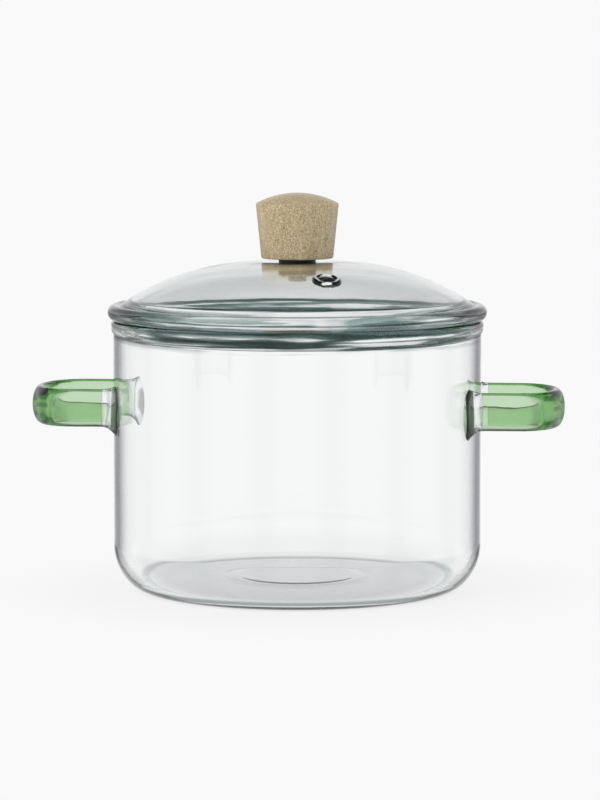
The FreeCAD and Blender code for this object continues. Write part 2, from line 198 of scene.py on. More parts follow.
class StageSettings(bpy.types.PropertyGroup):
    """Camera, floor and light."""
    distance: length("Distance", 1.5, "From the camera to its aim point")
    aim_height: length("Aim height", 0.082, "Height of the aim point over the floor")
    elevation: degrees("Elevation", 5.6, "How far the camera looks down")
    azimuth: degrees("Azimuth", 6.0, "How far the camera stands round to the right")
    lens: number("Lens", 155.0, "Focal length in millimetres on a 36 mm sensor")
    shift: number("Shift", 0.0034, "Sideways shift of the frame")
    floor_radius: length("Floor", 4.0, "Radius of the floor")
    near_radius: length("Near floor", 0.09, "Radius of the floor that glass shows and mirrors")
    # the painted shadow in the near floor's glow
    shade_inner: length("Shade, inner", 0.056, "Where the shade under the object starts to fade")
    shade_outer: length("Shade, outer", 0.072, "Where the shade under the object ends")
    shade_level: number("Shade", 0.50, "Brightness under the object, as a share of the floor's")
    shadow: number("Shadow", 0.10, "How much of the lamps' light and shadow the floor shows")
    shadow_inner: length("Shadow, inner", 0.06, "Where that share starts to fade")
    shadow_outer: length("Shadow, outer", 0.16, "Where it ends")
    pale: number("Backdrop", 0.947, "Brightness of the floor and the backdrop")
    fold_count: number("Fold count", 8.0, "Number of folds in the ring of light around the object")
    fold_level: number("Fold brightness", 0.78, "Brightness of a fold, as a share of the ring's")
    fold_edge: number("Fold edge", 0.2, "Cosine of the place in a fold's wave at which the fold ends")
    flag_start: degrees("Flag start", 10.0, "Where the dim flags begin, to both sides of the view")
    flag_full: degrees("Flag full", 20.0, "Where the flags are at their darkest")
    flag_fade: degrees("Flag fade", 34.0, "Where the flags begin to fade")
    flag_end: degrees("Flag end", 50.0, "Where the flags end")
    flag_height: degrees("Flag height", -5.6, "Where the middle of the flags is")
    flag_reach: degrees("Flag reach", 4.0, "How far the flags reach up and down from there")
    flag_blur: degrees("Flag blur", 4.5, "How softly they end above and below")
    flag_level: number("Flag brightness", 0.38, "Brightness of the flags")
    panel_top: degrees("Panel top", 5.0, "Height at which the light begins to fade")
    panel_fade: degrees("Panel fade", 24.0, "Height at which the first part of the fade ends")
    ceiling_start: degrees("Ceiling start", 46.0, "Height at which the ceiling is at its darkest")
    upper_level: number("Upper light", 0.78, "Share of the light that is left where the first fade ends")
    ceiling: number("Ceiling", 0.15, "Share of that light that is left at the ceiling")
    under_start: degrees("Lower fade", -11.0, "Depth at which the light begins to fade")
    under_dark: degrees("Lower dark", -30.0, "Depth at which it is at its darkest")
    under_level: number("Lower light", 0.97, "Share of the light that is left below")
    key_power: number("Key lamp", 14.0, "Power of the lamp at the front left, in watts")
    top_power: number("Top lamp", 10.0, "Power of the lamp overhead, in watts")


# ---------------------------------------------------------------- mesh tools

class Contour:
    """Points (r, z) of half a section, drawn run by run."""

    def __init__(self, r, z):
        self.points = [(r, z)]

    def line(self, r, z):
        """Draws a straight run to (r, z), with short steps at both ends."""
        start = Vector(self.points[-1])
        way = Vector((r, z)) - start
        if way.length < TOUCH:
            return
        if way.length <= 2 * EDGE_STEP:
            shares = [1.0]
        else:
            edge = EDGE_STEP / way.length
            count = max(1, math.ceil((way.length - 2 * EDGE_STEP) / LINE_STEP))
            shares = [edge + (1 - 2 * edge) * step / count for step in range(count + 1)] + [1.0]
        self.points += [tuple(start + way * share) for share in shares]

    def arc(self, r, z, turn):
        """Draws an arc about (r, z) through turn radians, positive from +r towards +z."""
        arm = Vector(self.points[-1]) - Vector((r, z))
        if abs(turn) < TOUCH:
            return
        count = max(
            2,
            math.ceil(abs(turn) * arm.length / ARC_STEP) if arm.length < ARC_WIDE else 0,
            math.ceil(abs(turn) * arm.length / LINE_STEP),
            math.ceil(math.degrees(abs(turn)) / ARC_TURN),
        )
        start = math.atan2(arm.y, arm.x)
        for step in range(1, count + 1):
            angle = start + turn * step / count
            self.points.append((r + arm.length * math.cos(angle), z + arm.length * math.sin(angle)))

    def arc_to(self, r, z, angle):
        """Draws an arc about (r, z) that ends where its arm points to angle, the short way round."""
        arm = Vector(self.points[-1]) - Vector((r, z))
        turn = angle - math.atan2(arm.y, arm.x)
        self.arc(r, z, (turn + math.pi) % math.tau - math.pi)


def direction(start, end):
    """The angle at which end, a pair (r, z), is seen from start."""
    return math.atan2(end[1] - start[1], end[0] - start[0])


def meeting_point(centre_a, distance_a, centre_b, distance_b):
    """The point at those distances from two centres, left of the way from the first to the second."""
    way = Vector(centre_b) - Vector(centre_a)
    along = (way.length ** 2 + distance_a ** 2 - distance_b ** 2) / (2 * way.length)
    aside = math.sqrt(distance_a ** 2 - along ** 2)
    ahead = way.normalized()
    return tuple(Vector(centre_a) + ahead * along + Vector((-ahead.y, ahead.x)) * aside)


def new_object(name, vertices, faces):
    """A smooth-shaded object from plain data, with its faces turned outwards."""
    mesh = bpy.data.meshes.new(name)
    mesh.from_pydata([tuple(v) for v in vertices], [], [tuple(f) for f in faces])
    work = bmesh.new()
    work.from_mesh(mesh)
    bmesh.ops.remove_doubles(work, verts=work.verts, dist=TOUCH)
    if work.calc_volume(signed=True) < 0:
        bmesh.ops.reverse_faces(work, faces=work.faces)
    work.to_mesh(mesh)
    work.free()
    obj = bpy.data.objects.new(name, mesh)
    bpy.context.scene.collection.objects.link(obj)
    smooth(obj)
    return obj


def smooth(obj):
    """Shades an object smooth, apart from its crisp edges."""
    obj.data.shade_smooth()
    obj.data.set_sharp_from_angle(angle=SHARP)


def lathe(name, points, segments, closed=True):
    """Turns a section about the Z axis. closed joins its last point to its first."""
    section = np.array(points)
    angles = np.arange(segments) * math.tau / segments
    rings = np.stack([
        section[:, None, 0] * np.cos(angles),
        section[:, None, 0] * np.sin(angles),
        np.repeat(section[:, 1:2], segments, axis=1),
    ], axis=-1)
    count = len(section)
    faces = []
    for ring in range(count if closed else count - 1):
        after = (ring + 1) % count
        if section[ring, 0] < TOUCH and section[after, 0] < TOUCH:
            continue
        low, high = ring * segments, after * segments
        for side in range(segments):
            turn = (side + 1) % segments
            faces.append((low + side, low + turn, high + turn, high + side))
    return new_object(name, rings.reshape(-1, 3), faces)


def loft(name, loops):
    """Joins closed loops of points and closes both ends."""
    size = len(loops[0])
    vertices = [point for loop in loops for point in loop]
    faces = []
    for index in range(len(loops) - 1):
        low, high = index * size, (index + 1) * size
        for side in range(size):
            turn = (side + 1) % size
            faces.append((low + side, low + turn, high + turn, high + side))
    for base in (0, (len(loops) - 1) * size):
        middle = len(vertices)
        vertices.append(sum((Vector(vertices[base + side]) for side in range(size)), Vector()) / size)
        for side in range(size):
            edge = (base + side, base + (side + 1) % size)
            faces.append((*(edge if base else edge[::-1]), middle))
    return new_object(name, vertices, faces)


def oval_loop(width, height):
    """Points (across, up) of an ellipse about its middle."""
    return [
        Vector((width / 2 * math.cos(angle), height / 2 * math.sin(angle)))
        for angle in (math.tau * step / OVAL_STEPS for step in range(OVAL_STEPS))
    ]


def boolean(obj, tool, operation):
    """Joins or cuts obj with tool, which is then removed."""
    modifier = obj.modifiers.new("cut", "BOOLEAN")
    modifier.operation = operation
    modifier.solver = "EXACT"
    modifier.object = tool
    graph = bpy.context.evaluated_depsgraph_get()
    result = bpy.data.meshes.new_from_object(obj.evaluated_get(graph))
    old = obj.data
    obj.modifiers.clear()
    obj.data = result
    bpy.data.meshes.remove(old)
    bpy.data.objects.remove(tool)
    smooth(obj)


def seated(obj, body, paint, node):
    """Gives a piece its finish, its place in the moving tree and the node that it stands for."""
    obj.data.materials.clear()
    obj.data.materials.append(paint)
    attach(obj, body)
    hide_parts(node)


# ---------------------------------------------------------------- materials

class Nodes:
    """A short way to add and join shader nodes."""

    def __init__(self, tree):
        self.tree = tree
        self.tree.nodes.clear()

    def add(self, kind, **inputs):
        """Adds a node. Its inputs are sockets to join or values to set, with _ for a blank in a name."""
        node = self.tree.nodes.new(kind)
        for name, value in inputs.items():
            self.put(node, name.replace("_", " "), value)
        return node

    def put(self, node, socket, value):
        """Joins or sets one socket, named or numbered."""
        target = node.inputs[int(socket)] if socket.isdigit() else node.inputs[socket]
        if isinstance(value, bpy.types.NodeSocket):
            self.tree.links.new(value, target)
        else:
            target.default_value = value

    def calc(self, operation, *values):
        """A math node's result."""
        node = self.tree.nodes.new("ShaderNodeMath")
        node.operation = operation
        for index, value in enumerate(values):
            self.put(node, str(index), value)
        return node.outputs[0]

    def ramp(self, factor, *stops):
        """A colour ramp's result. Each stop is a place and a colour."""
        node = self.tree.nodes.new("ShaderNodeValToRGB")
        elements = node.color_ramp.elements
        while len(elements) < len(stops):
            elements.new(0.5)
        for element, (place, shade) in zip(elements, stops):
            element.position = place
            element.color = (*shade, 1.0)
        self.tree.links.new(factor, node.inputs[0])
        return node.outputs[0]

    def place(self):
        """Positions in the object's own frame."""
        return self.add("ShaderNodeTexCoord").outputs["Object"]

    def stretched(self, place, upright):
        """Positions with their height scaled."""
        return self.add("ShaderNodeMapping", Vector=place, Scale=(1.0, 1.0, upright)).outputs[0]

    def cloud(self, place, scale, detail, roughness=0.5):
        """A noise texture's value."""
        node = self.add("ShaderNodeTexNoise", Vector=place, Scale=scale, Detail=detail, Roughness=roughness)
        return node.outputs[0]

    def bump(self, height, distance, strength):
        """The normal of a surface with small bumps."""
        return self.add("ShaderNodeBump", Height=height, Distance=distance, Strength=strength).outputs[0]

    def surface(self, volume=None, **inputs):
        """Adds the surface itself and the material's output, with what fills it if that is given."""
        skin = self.add("ShaderNodeBsdfPrincipled", **inputs)
        output = self.add("ShaderNodeOutputMaterial", Surface=skin.outputs[0])
        if volume:
            self.put(output, "Volume", volume)

    def fade(self, factor, low, high, to_low, to_high):
        """A smooth change from to_low to to_high, while factor goes from low to high."""
        return self.mapped(factor, low, high, to_low, to_high, "SMOOTHSTEP")

    def mapped(self, factor, low, high, to_low, to_high, kind="LINEAR"):
        """A map-range node's result."""
        node = self.tree.nodes.new("ShaderNodeMapRange")
        node.interpolation_type = kind
        for index, value in enumerate((factor, low, high, to_low, to_high)):
            self.put(node, str(index), value)
        return node.outputs[0]


def material(name):
    """A new material and its nodes."""
    made = bpy.data.materials.new(name)
    made.use_nodes = True
    return made, Nodes(made.node_tree)


def darker(shade, share):
    """A share of a colour."""
    return tuple(share * c for c in shade)


def glass(name, settings, tint, density, wave_height, wave_scale, rolled=None):
    """Glass that takes colour away with depth and has faint drawn waves on its surface.

    rolled is for thick clear glass: the heights where its painted shade begins and where it is at its
    fullest.
    """
    made, nodes = material(name)
    place = nodes.place()
    waves = nodes.cloud(nodes.stretched(place, upright=0.6), wave_scale, detail=1.5, roughness=0.4)
    nodes.surface(
        Base_Color=streaks(nodes, place, settings, *rolled) if rolled else (*WHITE, 1.0),
        Roughness=0.0,
        IOR=settings.glass_ior,
        Transmission_Weight=1.0,
        Normal=nodes.bump(waves, wave_height, strength=1.0),
        volume=nodes.add("ShaderNodeVolumeAbsorption", Color=(*tint, 1.0), Density=density).outputs[0],
    )
    return made


def streaks(nodes, place, settings, start, full):
    """Painted shade: long dark streaks around the axis, from nothing at the height start to the fullest at
    full.

    The painted shade is even, with no streaks, where bead and rim meet and round the bottom edge.
    """
    height = nodes.add("ShaderNodeSeparateXYZ", Vector=place).outputs[2]
    zone = nodes.fade(height, start, full, 0.0, 1.0)
    # noise that breaks the painted shade into long upright streaks
    drawn = nodes.cloud(nodes.stretched(place, upright=18.0), 24.0, detail=2.5, roughness=0.55)
    pale, dark, least = 0.44, 0.57, 0.04
    depth = nodes.calc("MULTIPLY", zone, nodes.fade(drawn, pale, dark, least, 1.0))

    # painted shade at the seat, where the bead sits on the rim
    away = nodes.calc("ABSOLUTE", nodes.calc("SUBTRACT", height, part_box("pot_body")[1].z))
    depth = nodes.calc("MAXIMUM", depth, nodes.fade(away, settings.seat_even, settings.seat_end, 1.0, 0.0))

    # painted shade along the bottom edge, as a dark line
    foot_full = settings.foot + settings.foot_blend
    outside = nodes.fade(from_axis(nodes, place), settings.foot, foot_full, 0.0, settings.foot_share)
    low = nodes.fade(height, settings.foot_even, settings.foot_end, 1.0, 0.0)
    depth = nodes.calc("MAXIMUM", depth, nodes.calc("MULTIPLY", outside, low))
    # the painted shade goes into the glass's own colour
    return nodes.ramp(depth, (0.0, WHITE), (1.0, settings.streak_tone))


def from_axis(nodes, place):
    """The distance of a place from the object's axis."""
    parts = nodes.add("ShaderNodeSeparateXYZ", Vector=place)
    squares = [nodes.calc("POWER", parts.outputs[index], 2.0) for index in (0, 1)]
    return nodes.calc("SQRT", nodes.calc("ADD", *squares))


def turned_wood(name, light, dark):
    """Close-grained wood, turned with the grain upright: fine flecks, faint bands and a waxed sheen."""
    made, nodes = material(name)
    place = nodes.place()
    upright = nodes.stretched(place, upright=0.12)
    bands = nodes.cloud(upright, 260.0, detail=3.0)
    flecks = nodes.cloud(upright, 2000.0, detail=1.0, roughness=0.6)
    speckle = nodes.cloud(place, 1850.0, detail=1.2, roughness=0.6)
    # the three shares add up to one
    mixed = nodes.calc("ADD", nodes.calc("MULTIPLY", bands, 0.16), nodes.calc("MULTIPLY", flecks, 0.22))
    mixed = nodes.calc("ADD", mixed, nodes.calc("MULTIPLY", speckle, 0.62))
    between = tuple((a + b) / 2 for a, b in zip(light, dark))
    nodes.surface(
        Base_Color=nodes.ramp(mixed, (0.38, dark), (0.505, between), (0.63, light)),
        Roughness=nodes.mapped(flecks, 0.3, 0.7, 0.42, 0.62),
        Normal=nodes.bump(mixed, 0.12 * MM, strength=0.6),
        Coat_Weight=0.5,
        Coat_Roughness=0.22,
    )
    return made


def rubber(name, shade, roughness):
    """Moulded rubber or silicone with a fine matt skin."""
    made, nodes = material(name)
    grain = nodes.cloud(nodes.place(), 2600.0, detail=2.0)
    nodes.surface(
        Base_Color=nodes.ramp(grain, (0.35, darker(shade, 0.8)), (0.65, shade)),
        Roughness=roughness,
        Normal=nodes.bump(grain, 0.05 * MM, strength=0.4),
    )
    return made


def metal(name, shade, roughness):
    """Turned metal with fine rings of tool marks around the axis."""
    made, nodes = material(name)
    tool_marks = 42000.0      # radians of their wave in a metre
    place = nodes.place()
    rings = nodes.calc("SINE", nodes.calc("MULTIPLY", from_axis(nodes, place), tool_marks))
    cloud = nodes.cloud(place, 900.0, detail=3.0)
    nodes.surface(
        Base_Color=nodes.ramp(cloud, (0.3, darker(shade, 0.85)), (0.7, shade)),
        Metallic=1.0,
        Roughness=nodes.mapped(cloud, 0.3, 0.7, roughness * 0.7, roughness * 1.3),
        Normal=nodes.bump(rings, 0.004 * MM, strength=0.5),
    )
    return made


def finish(name):
    """The material of that name, made when it is first asked for."""
    if name in bpy.data.materials:
        return bpy.data.materials[name]
    settings = bpy.context.scene.saucepan_finish
    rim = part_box("pot_body")[1].z

    def clear(*rolled):
        """Clear glass, with painted shade between the two heights of rolled where they are given."""
        return glass(
            name, settings, settings.clear_tint, settings.clear_density, settings.clear_wave,
            wave_scale=60.0, rolled=rolled
        )

    makers = {
        "clear_borosilicate": clear,
        # the pot's glass has painted shade under its rim, the lid's glass on its bead
        "clear_pot_glass": lambda: clear(rim - settings.rim_start, rim - settings.rim_full),
        "clear_lid_glass": lambda: clear(rim + settings.bead_start, rim + settings.bead_full),
        "green_borosilicate": lambda: glass(
            name, settings, settings.green_tint, settings.green_density, settings.green_wave,
            wave_scale=170.0
        ),
        "waxed_wood": lambda: turned_wood(name, settings.wood_light, settings.wood_dark),
        "black_silicone": lambda: rubber(name, (0.012, 0.012, 0.012), roughness=0.55),
        "tan_silicone": lambda: rubber(name, (0.23, 0.14, 0.075), roughness=0.5),
        "stainless_steel": lambda: metal(name, (0.62, 0.60, 0.58), roughness=0.28),
        "plain_brass": lambda: metal(name, (0.75, 0.56, 0.25), roughness=0.3),
    }
    return makers[name]()


# ---------------------------------------------------------------- shared sizes

def pot_sizes(pot):
    """Outer wall radius, inner wall radius and rim height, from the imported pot."""
    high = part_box("pot_body")[1]
    outer = min(high.x, high.y) - pot.rim_proud
    return outer, outer - pot.wall, high.z


def corner_centres(wall, floor, upper, lower):
    """The centres of the two arcs that lead from a floor to a wall: the upper one, then the lower one."""
    upper_r = wall - upper
    lower_z = floor + lower
    return (
        (upper_r, lower_z + (upper - lower) * math.sin(SPLIT)),
        (upper_r + (upper - lower) * math.cos(SPLIT), lower_z),
    )


class Dome:
    """The dome's two arcs: they leave the flat seat level and end in the groove beside the bead."""

    def __init__(self, lid):
        low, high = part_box("lid_glass")
        self.top = high.z
        self.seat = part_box("pot_body")[1].z + lid.seat_gap
        self.skirt_end = low.z
        self.bead = min(high.x, high.y)
        self.bead_top = self.seat + lid.bead_height
        self.flat = lid.flat
        run = self.bead - lid.groove_setback - lid.flat
        drop = self.top - self.bead_top + lid.groove_depth
        self.radius = (run ** 2 + drop ** 2) / (2 * drop)
        self.centre = (lid.flat, self.top - self.radius)

    def height(self, r, radius):
        """The height at distance r from the axis of the arc of that radius."""
        return self.centre[1] + math.sqrt(radius ** 2 - (r - self.flat) ** 2)


# ---------------------------------------------------------------- operators

class SAUCEPAN_OT_pot(bpy.types.Operator):
    """Builds the blown pot: wall, thickened rim, rounded corner and punted base"""
    bl_idname = "saucepan.pot"
    bl_label = "Pot"

    sides = 240               # facets around the axis
    slope_steps = 16          # points down the slope around the punt

    def execute(self, context):
        pot = context.scene.saucepan_pot
        outer, inner, top = pot_sizes(pot)
        rim = outer + pot.rim_proud
        outer_upper, outer_lower = corner_centres(outer, 0.0, pot.corner_upper, pot.corner_lower)
        inner_upper, inner_lower = corner_centres(inner, pot.base, pot.inner_upper, pot.inner_lower)
        swing = math.acos(1 - pot.rim_proud / (2 * pot.rim_blend))
        rim_start = top - pot.rim_height
        rim_full = rim_start + 2 * pot.rim_blend * math.sin(swing)

        section = Contour(0.0, pot.punt_depth)
        self.punt(section, pot, 0.0, outward=True)
        section.line(outer_lower[0], 0.0)
        section.arc(*outer_lower, SPLIT)
        section.arc(*outer_upper, SPLIT)
        section.line(outer, rim_start)
        section.arc(outer + pot.rim_blend, rim_start, -swing)
        section.arc(rim - pot.rim_blend, rim_full, swing)
        section.line(rim, top - pot.rim_outer_edge)
        section.arc(rim - pot.rim_outer_edge, top - pot.rim_outer_edge, QUARTER)
        section.line(inner + pot.rim_inner_edge, top)
        section.arc(inner + pot.rim_inner_edge, top - pot.rim_inner_edge, QUARTER)
        section.line(inner, inner_upper[1])
        section.arc(*inner_upper, -SPLIT)
        section.arc(*inner_lower, -SPLIT)
        section.line(pot.punt_foot, pot.base)
        self.punt(section, pot, pot.base, outward=False)
        seated(
            lathe("pot_glass", section.points, self.sides, closed=False), "pot",
            finish("clear_pot_glass"), "pot_body"
        )
        return {"FINISHED"}

    def punt(self, section, pot, floor, outward):
        """Draws the raised middle with a soft slope, from the axis outwards or back to it."""
        middle = (0.0, floor + pot.punt_depth)
        edge = (pot.punt_radius, floor + pot.punt_depth)
        width = pot.punt_foot - pot.punt_radius
        slope = []
        for step in range(1, self.slope_steps + 1):
            share = step / self.slope_steps
            ease = share * share * (3 - 2 * share)
            slope.append((pot.punt_radius + width * share, floor + pot.punt_depth * (1 - ease)))
        if outward:
            section.line(*edge)
            section.points += slope
        else:
            section.points += slope[-2::-1]
            section.line(*edge)
            section.line(*middle)


class SAUCEPAN_OT_handles(bpy.types.Operator):
    """Builds the two green loops as drawn straps of oval section"""
    bl_idname = "saucepan.handles"
    bl_label = "Handles"

    sink = 0.05 * MM          # how far a strap's end lies inside its weld
    ripple_fade = 3 * MM      # the ripples grow over this length of each arm
    ripple_sideways = 95      # how fine the ripples are along and across the strap
    ripple_upright = 210      # how fine they are up and down
    ripple_apart = 7.3        # keeps the ripples of the two loops different
    second_wave = 2.3         # how much finer the second wave is
    second_share = 0.5        # how high it is, as a share of the first

    def execute(self, context):
        handle = context.scene.saucepan_handles
        for side, name in ((1, "handle_right"), (-1, "handle_left")):
            low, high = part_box(name)
            middle_z = (low.z + high.z) / 2
            height = high.z - low.z
            root = low.x if side > 0 else -high.x
            loop = oval_loop(handle.strap, height)
            sections = []
            for point, ahead in self.path(handle, root):
                across = Vector((ahead.y, -ahead.x))
                section = []
                for w, up in loop:
                    place = Vector((*(point + across * w), middle_z + up))
                    place.x *= side
                    place.y *= side
                    section.append(place)
                sections.append(section)
            obj = loft(name + "_strap", sections)
            self.ripple(obj, handle.ripple, side)
            seated(obj, "pot", finish("green_borosilicate"), name)
        return {"FINISHED"}

    def path(self, handle, root):
        """Points of the strap's middle line and the way ahead at each, from front to back."""
        half = handle.spacing / 2
        bend = handle.bend_angle
        bow_half = QUARTER - bend
        bow = (half - handle.bend_radius * (1 - math.cos(bend))) / math.sin(bow_half)
        route = Contour(root - self.sink, -half)
        route.line(root + handle.arm, -half)
        route.arc(root + handle.arm, -half + handle.bend_radius, bend)
        tip = route.points[-1]
        route.arc(tip[0] - bow * math.cos(bow_half), 0.0, bow_half)
        half_points = [Vector(p) for p in route.points]
        points = half_points + [Vector((p.x, -p.y)) for p in reversed(half_points[:-1])]
        for index, point in enumerate(points):
            before, after = points[max(index - 1, 0)], points[min(index + 1, len(points) - 1)]
            yield point, (after - before).normalized()

    def ripple(self, obj, height, side):
        """Presses shallow ripples into the strap's surface, but none at its ends."""
        mesh = obj.data
        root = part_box("handle_right")[0].x
        for vertex, normal in zip(mesh.vertices, [v.normal.copy() for v in mesh.vertices]):
            away = abs(vertex.co.x) - root
            fade = min(1.0, max(0.0, away / self.ripple_fade))
            place = Vector((
                vertex.co.x * self.ripple_sideways,
                vertex.co.y * self.ripple_sideways,
                vertex.co.z * self.ripple_upright + self.ripple_apart * side,
            ))
            wave = noise.noise(place) + self.second_share * noise.noise(place * self.second_wave)
            vertex.co += normal * (min(wave, 0.0) * height * fade)
        smooth(obj)


class SAUCEPAN_OT_welds(bpy.types.Operator):
    """Builds the four clear welds that flare from the strap ends to the wall"""
    bl_idname = "saucepan.welds"
    bl_label = "Welds"

    sink = 0.05 * MM          # how far a weld lies inside the wall
    behind = 1.0 * MM         # how far behind the wall the flare is at its widest
    rounds = 12               # repeats that find where a point of the flare meets the wall
    steps = 22                # sections from strap to wall
    cap_shares = (0.85, 0.7, 0.5, 0.3, 0.12)     # sizes of the rings that close the end on the wall

    def execute(self, context):
        handle = context.scene.saucepan_handles
        wall = pot_sizes(context.scene.saucepan_pot)[0]
        for side, side_name in ((1, "right"), (-1, "left")):
            for depth, depth_name in ((-1, "front"), (1, "back")):
                name = f"weld_{side_name}_{depth_name}"
                obj = self.weld(handle, wall, side, depth, name)
                seated(obj, "pot", finish("clear_borosilicate"), name)
        return {"FINISHED"}

    def weld(self, handle, wall, side, depth, name):
        """One weld on the side and at the depth given as signs."""
        low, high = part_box("handle_right")
        root, middle_z, height = low.x, (low.z + high.z) / 2, high.z - low.z
        half = handle.spacing / 2
        far = half + handle.strap / 2 + handle.weld_side
        end = math.sqrt(wall ** 2 - far ** 2) - self.behind
        sunk = wall - self.sink

        def loop_at(x):
            """Points (y, z) of the flared weld's section at x."""
            flare = ((root - x) / (root - end)) ** 2
            shape = oval_loop(
                handle.strap + 2 * handle.weld_side * flare,
                height + (handle.weld_above + handle.weld_below) * flare,
            )
            lift = (handle.weld_above - handle.weld_below) / 2 * flare
            return [(w + half, up + lift + middle_z) for w, up in shape]

        def wall_loop():
            """Where the flared surface meets the sunk wall, point by point."""
            found = []
            for index in range(OVAL_STEPS):
                x = root
                for _ in range(self.rounds):
                    x = math.sqrt(sunk ** 2 - loop_at(x)[index][0] ** 2)
                found.append((x, *loop_at(x)[index]))
            return found

        ends = wall_loop()
        sections = []
        for step in range(self.steps + 1):
            share = step / self.steps
            closer = share * (2 - share)      # the sections lie closer together towards the wall
            section = []
            for index, (end_x, _y, _z) in enumerate(ends):
                x = root + (end_x - root) * closer
                y, z = loop_at(x)[index]
                section.append((x, y, z))
            sections.append(section)
        middle_y, middle_end = half, sum(z for _x, _y, z in ends) / len(ends)
        caps = []
        for share in self.cap_shares:
            ring = []
            for _x, y, z in ends:
                inner_y = middle_y + (y - middle_y) * share
                inner_z = middle_end + (z - middle_end) * share
                ring.append((math.sqrt(sunk ** 2 - inner_y ** 2), inner_y, inner_z))
            caps.append(ring)
        turned = [
            [Vector((side * x, depth * y, z)) for x, y, z in loop] for loop in sections + caps
        ]
        return loft(name + "_glass", turned)


class SAUCEPAN_OT_lid(bpy.types.Operator):
    """Builds the lid: dome, rolled bead, locating skirt and beaded steam vent"""
    bl_idname = "saucepan.lid"
    bl_label = "Lid"

    sides = 288               # facets around the axis
    vent_sides = 96           # facets around the vent
    vent_reach = 12.0 * MM    # half the length of the tool that cuts the vent's bore
    lip_inside = 0.1 * MM     # how far the lip reaches into the bore, which then trims it
    lip_turn = math.tau * 31 / 32     # the drawn part of the lip's round section, which the lathe closes

    def execute(self, context):
        lid = context.scene.saucepan_lid
        dome = Dome(lid)
        inner_wall = pot_sizes(context.scene.saucepan_pot)[1]
        inner_dome = dome.radius - lid.thickness
        skirt_outer = inner_wall - lid.skirt_clearance
        skirt_inner = skirt_outer - lid.skirt_thickness
        skirt_round = lid.skirt_thickness / 2
        skirt_low = dome.skirt_end + skirt_round
        blend_r = skirt_inner - lid.skirt_blend
        blend = (blend_r, dome.height(blend_r, inner_dome - lid.skirt_blend))
        bead_flat = dome.bead - lid.bead_outer
        roll = (bead_flat, dome.bead_top - lid.bead_inner)
        groove = meeting_point(
            dome.centre, dome.radius + lid.groove_round, roll, lid.bead_inner + lid.groove_round
        )

        section = Contour(lid.hole, dome.top - lid.thickness)
        section.line(lid.flat, dome.top - lid.thickness)
        section.arc_to(*dome.centre, direction(dome.centre, blend))
        section.arc_to(*blend, 0.0)
        section.line(skirt_inner, skirt_low)
        section.arc(skirt_inner + skirt_round, skirt_low, 2 * QUARTER)
        section.line(skirt_outer, dome.seat - lid.seat_blend)
        section.arc(skirt_outer + lid.seat_blend, dome.seat - lid.seat_blend, -QUARTER)
        section.line(bead_flat, dome.seat)
        section.arc(bead_flat, dome.seat + lid.bead_outer, QUARTER)
        section.line(dome.bead, dome.bead_top - lid.bead_outer)
        section.arc(bead_flat, dome.bead_top - lid.bead_outer, QUARTER)
        section.arc_to(*roll, direction(roll, groove))
        section.arc_to(*groove, direction(groove, dome.centre))
        section.arc_to(*dome.centre, QUARTER)
        section.line(lid.hole, dome.top)
        obj = lathe("lid_dome", section.points, self.sides)
        self.vent(obj, lid, dome)
        seated(obj, "lid", finish("clear_lid_glass"), "lid_glass")
        return {"FINISHED"}

    def vent(self, obj, lid, dome):
        """Adds the vent's raised lip and cuts its bore."""
        outward = Vector((math.cos(lid.vent_angle), math.sin(lid.vent_angle), 0.0))
        slope = math.asin((lid.vent_distance - lid.flat) / dome.radius)
        middle = outward * lid.vent_distance + Vector((0, 0, dome.height(lid.vent_distance, dome.radius)))
        normal = outward * math.sin(slope) + Vector((0, 0, math.cos(slope)))
        ring = lid.vent_radius + lid.vent_lip - self.lip_inside
        circle = Contour(ring + lid.vent_lip, 0.0)
        circle.arc(ring, 0.0, self.lip_turn)
        lip = lathe("lip", circle.points, self.vent_sides)
        tilt = Vector((0, 0, 1)).rotation_difference(normal).to_matrix().to_4x4()
        lip.data.transform(Matrix.Translation(middle + normal * lid.vent_proud) @ tilt)
        boolean(obj, lip, "UNION")
        radius, reach = lid.vent_radius, self.vent_reach
        outline = [(0, -reach), (radius, -reach), (radius, reach), (0, reach)]
        bore = lathe("bore", outline, self.vent_sides, closed=False)
        bore.data.transform(Matrix.Translation(middle))
        boolean(obj, bore, "DIFFERENCE")


class SAUCEPAN_OT_knob(bpy.types.Operator):
    """Builds the turned wooden knob with its blind bore"""
    bl_idname = "saucepan.knob"
    bl_label = "Knob"

    sides = 192               # facets around the axis

    def execute(self, context):
        knob = context.scene.saucepan_knob
        low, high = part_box("knob")
        shoulder = high.z - knob.crown
        corner = knob.top_radius
        crown = (corner ** 2 + knob.crown ** 2) / (2 * knob.crown)
        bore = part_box("knob_insert")[1].x + knob.bore_gap
        crown_centre = (0.0, high.z - crown)
        side = Vector((corner - knob.base_radius, shoulder - low.z)).normalized()
        inward = Vector((-side.y, side.x))

        # the top edge's circle touches both the crown and the tapered side
        start = Vector((knob.base_radius, low.z)) + inward * knob.top_edge
        reach = crown - knob.top_edge
        offset = start - Vector(crown_centre)
        along = -offset.dot(side) + math.sqrt(offset.dot(side) ** 2 - offset.length_squared + reach ** 2)
        top_round = tuple(start + side * along)
        # the bottom edge's circle touches both the flat bottom and the tapered side
        lean = (knob.base_edge - knob.base_edge * inward.y) / side.y
        bottom_round = tuple(Vector((knob.base_radius, low.z)) + inward * knob.base_edge + side * lean)

        section = Contour(bore, low.z)
        section.line(bottom_round[0], low.z)
        section.arc_to(*bottom_round, math.atan2(-inward.y, -inward.x))
        outer_end = Vector(top_round) - inward * knob.top_edge
        section.line(*outer_end)
        section.arc_to(*top_round, direction(crown_centre, top_round))
        section.arc_to(*crown_centre, QUARTER)
        section.points[-1] = (0.0, high.z)
        section.line(0.0, low.z + knob.bore_depth)
        section.line(bore, low.z + knob.bore_depth)
        obj = lathe("knob_wood", section.points, self.sides)
        seated(obj, "knob", finish("waxed_wood"), "knob")
        return {"FINISHED"}


